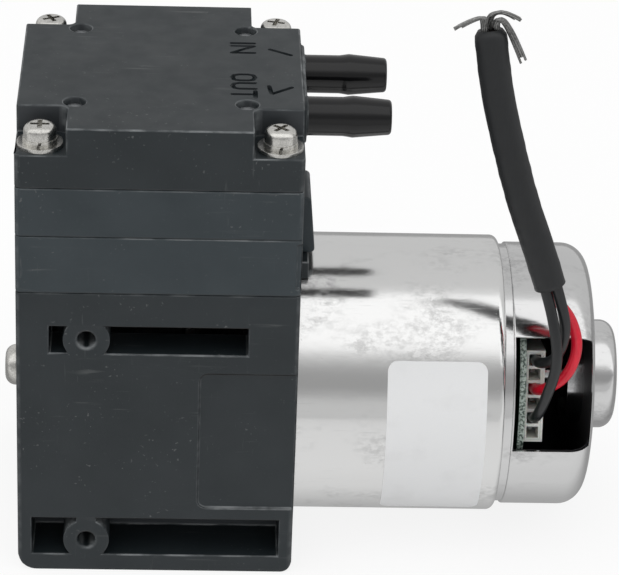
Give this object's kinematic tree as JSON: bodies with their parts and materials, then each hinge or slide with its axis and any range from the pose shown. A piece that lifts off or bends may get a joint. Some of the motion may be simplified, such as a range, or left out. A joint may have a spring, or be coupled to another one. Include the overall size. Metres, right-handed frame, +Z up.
{
  "type": "diaphragm vacuum pump",
  "caption": "Diaphragm vacuum pump: a brushless motor turns an eccentric whose rod works a rubber diaphragm below a stacked valve head with an inlet barb and an outlet barb.",
  "frame": {"origin": "centre of the crankcase's flat base", "axes": "+Z up through the head, +X along the motor shaft from the crankcase to the motor's rear, -Y to the front with the label and the connector window"},
  "size_m": [0.0794, 0.0384, 0.0745],
  "materials": {
    "aluminium": "turned",
    "bearing_steel": "ground",
    "board": "solder resist",
    "board_part": "moulded",
    "cage": "moulded",
    "cast_steel": "sintered",
    "connector_white": "moulded nylon",
    "copper": "enamelled wire",
    "diaphragm_rubber": "moulded",
    "housing_plastic": "moulded, fine satin",
    "insulator": "moulded nylon",
    "lamination": "stacked sheets",
    "magnet": "sintered ferrite",
    "nickel": "nickel plated, bright",
    "paper": "coated",
    "rod_plastic": "glass filled nylon",
    "sleeve": "shrink tube",
    "tin": "tin plated",
    "valve_rubber": "sheet",
    "wire_black": "wire insulation",
    "wire_red": "wire insulation",
    "zinc_steel": "zinc plated"
  },
  "bodies": {
    "housing": {"crankcase": "housing_plastic", "diaphragm_housing": "housing_plastic", "valve_plate": "housing_plastic", "head_cover": "housing_plastic", "valve_sheet": "valve_rubber", "flat_washers": "zinc_steel", "spring_washers": "zinc_steel", "head_screws": "zinc_steel", "plug_screw": "zinc_steel", "diaphragm": "diaphragm_rubber", "motor_screws": "zinc_steel", "motor_can": "nickel", "front_flange": "zinc_steel", "end_cap": "nickel", "front_bearing_outer": "bearing_steel", "front_bearing_balls": "bearing_steel", "rear_bearing_outer": "bearing_steel", "rear_bearing_balls": "bearing_steel", "stator_core": "lamination", "stator_insulators": "insulator", "windings": "copper", "circuit_board": "board", "board_parts": "board_part", "connector_header": "connector_white", "connector_plug": "connector_white", "header_pins": "tin", "crimp_contacts": "tin", "label": "paper", "wire_sleeve": "sleeve", "black_wire_a": "wire_black", "black_wire_b": "wire_black", "red_wire": "wire_red", "conductor_ends": "tin"},
    "rotor": {"motor_shaft": "bearing_steel", "rotor_core": "lamination", "rotor_magnets": "magnet", "front_bearing_inner": "bearing_steel", "rear_bearing_inner": "bearing_steel", "eccentric": "cast_steel", "set_screw": "zinc_steel", "crank_bearing_inner": "bearing_steel"},
    "rod": {"connecting_rod": "rod_plastic", "crank_bearing_outer": "bearing_steel", "crank_bearing_balls": "bearing_steel", "crank_bearing_cage": "cage", "clamp_disc": "aluminium", "clamp_screw": "zinc_steel"},
    "inlet_flap": {"inlet_flap": "valve_rubber"},
    "outlet_flap": {"outlet_flap": "valve_rubber"}
  },
  "joints": [
    {"name": "rotor_spin", "type": "hinge", "parent": "housing", "child": "rotor", "pos_m": [0, 0, 0.01925], "axis": [1, 0, 0], "continuous": true, "deforming": ["diaphragm"]},
    {"name": "rod_orbit", "type": "hinge", "parent": "rotor", "child": "rod", "pos_m": [0, 0, 0.0175], "axis": [1, 0, 0], "continuous": true},
    {"name": "inlet_flap_bend", "type": "hinge", "parent": "housing", "child": "inlet_flap", "pos_m": [-0.0083, 0.0064, 0.0538], "axis": [0, 1, 0], "range_deg": [0, 7], "stiffness_Nm_per_rad": 0.00012, "springref_deg": -5.73},
    {"name": "outlet_flap_bend", "type": "hinge", "parent": "housing", "child": "outlet_flap", "pos_m": [-0.0083, -0.0064, 0.0538], "axis": [0, -1, 0], "range_deg": [0, 7], "stiffness_Nm_per_rad": 0.00012, "springref_deg": -5.73}
  ],
  "couplings": [
    {"joint": "rod_orbit", "follows": "rotor_spin", "ratio": -1}
  ]
}
